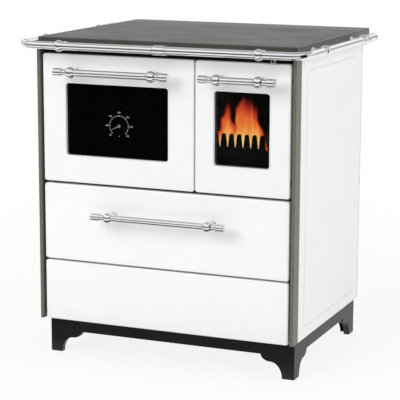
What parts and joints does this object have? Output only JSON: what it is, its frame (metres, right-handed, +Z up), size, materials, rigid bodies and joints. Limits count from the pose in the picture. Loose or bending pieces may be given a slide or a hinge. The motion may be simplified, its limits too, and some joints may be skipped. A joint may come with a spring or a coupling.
{
  "type": "wood cookstove",
  "caption": "Wood-burning cookstove with glazed oven and fire doors, a drawer under them, bracket feet, a flat hob top and a hand rail round it.",
  "frame": {"origin": "on the floor, under the middle of the stove's overall box", "axes": "+Z up, -Y out of the front with the doors, +X to the right as seen from the front"},
  "size_m": [0.809, 0.6644, 0.85],
  "materials": {
    "white_enamel": "glossy white enamel",
    "olive_paint": "satin olive-grey paint",
    "grey_top": "satin grey heat-proof coat",
    "black_paint": "satin black paint",
    "chrome": "polished",
    "oven_glass": "dark printed glass",
    "fire_glass": "clear heat-proof glass",
    "cast_iron": "rough black",
    "steel": "plain sheet",
    "firebrick": "matt",
    "rope_seal": "woven rope",
    "pointer_paint": "white"
  },
  "bodies": {
    "stove": {"plinth": "black_paint", "base_pan": "steel", "corner_post_left": "olive_paint", "corner_post_right": "olive_paint", "side_panel_left": "white_enamel", "side_panel_right": "white_enamel", "rear_panel": "steel", "flue_collar": "black_paint", "top_frame": "grey_top", "hob_plate": "grey_top", "front_frame": "black_paint", "oven_box": "steel", "oven_shelf": "chrome", "oven_hinge_left": "steel", "oven_hinge_right": "steel", "fire_hinge_lower": "steel", "fire_hinge_upper": "steel", "firebox_casing": "cast_iron", "firebrick_left": "firebrick", "firebrick_right": "firebrick", "firebrick_rear": "firebrick", "grate": "cast_iron", "fire_guard": "cast_iron", "ash_pan": "steel", "drawer_bay": "steel", "lower_panel": "white_enamel", "rail_tube_left": "chrome", "rail_tube_right": "chrome", "rail_sleeve": "chrome", "rail_bracket_front_left": "chrome", "rail_bracket_front_right": "chrome", "rail_bracket_right_front": "chrome", "rail_bracket_right_rear": "chrome", "rail_bracket_left_front": "chrome", "rail_bracket_left_rear": "chrome"},
    "oven_door": {"oven_door_panel": "white_enamel", "oven_door_glass": "oven_glass", "oven_door_liner": "steel", "oven_door_seal": "rope_seal", "thermometer_case": "steel", "oven_handle_bar": "chrome", "oven_handle_post_left": "chrome", "oven_handle_post_right": "chrome"},
    "pointer": {"thermometer_pointer": "pointer_paint"},
    "fire_door": {"fire_door_panel": "white_enamel", "fire_door_glass": "fire_glass", "fire_door_liner": "cast_iron", "fire_door_seal": "rope_seal", "fire_handle_bar": "chrome", "fire_handle_post_left": "chrome", "fire_handle_post_right": "chrome"},
    "drawer": {"drawer_front": "white_enamel", "drawer_box": "steel", "drawer_handle_bar": "chrome", "drawer_handle_post_left": "chrome", "drawer_handle_post_right": "chrome"},
    "hob_lid": {"hob_lid": "grey_top"},
    "cleanout_cover": {"cleanout_cover": "grey_top"},
    "draught_rod": {"draught_rod": "steel"},
    "flue_flap": {"flue_flap": "cast_iron"}
  },
  "joints": [
    {"name": "oven_door_hinge", "type": "hinge", "parent": "stove", "child": "oven_door", "pos_m": [-0.1288, -0.26475, 0.4825], "axis": [1, 0, 0], "range_deg": [0, 90]},
    {"name": "pointer_turn", "type": "hinge", "parent": "oven_door", "child": "pointer", "pos_m": [-0.1284, -0.26675, 0.6275], "axis": [0, 1, 0], "range_deg": [-18, 252]},
    {"name": "fire_door_hinge", "type": "hinge", "parent": "stove", "child": "fire_door", "pos_m": [0.3322, -0.26475, 0.6405], "axis": [0, 0, 1], "range_deg": [0, 100]},
    {"name": "drawer_slide", "type": "slide", "parent": "stove", "child": "drawer", "axis": [0, -1, 0], "range_m": [0, 0.35]},
    {"name": "hob_lid_lift", "type": "slide", "parent": "stove", "child": "hob_lid", "axis": [0, 0, 1], "range_m": [0, 0.06]},
    {"name": "cleanout_cover_lift", "type": "slide", "parent": "stove", "child": "cleanout_cover", "axis": [0, 0, 1], "range_m": [0, 0.06]},
    {"name": "draught_rod_slide", "type": "slide", "parent": "stove", "child": "draught_rod", "axis": [0, -1, 0], "range_m": [0, 0.04294]},
    {"name": "flue_flap_turn", "type": "hinge", "parent": "stove", "child": "flue_flap", "pos_m": [0.2141, 0.16725, 0.7695], "axis": [1, 0, 0], "range_deg": [0, 68.8]}
  ],
  "couplings": [
    {"joint": "flue_flap_turn", "follows": "draught_rod_slide", "rad_per_m": 27.962}
  ]
}
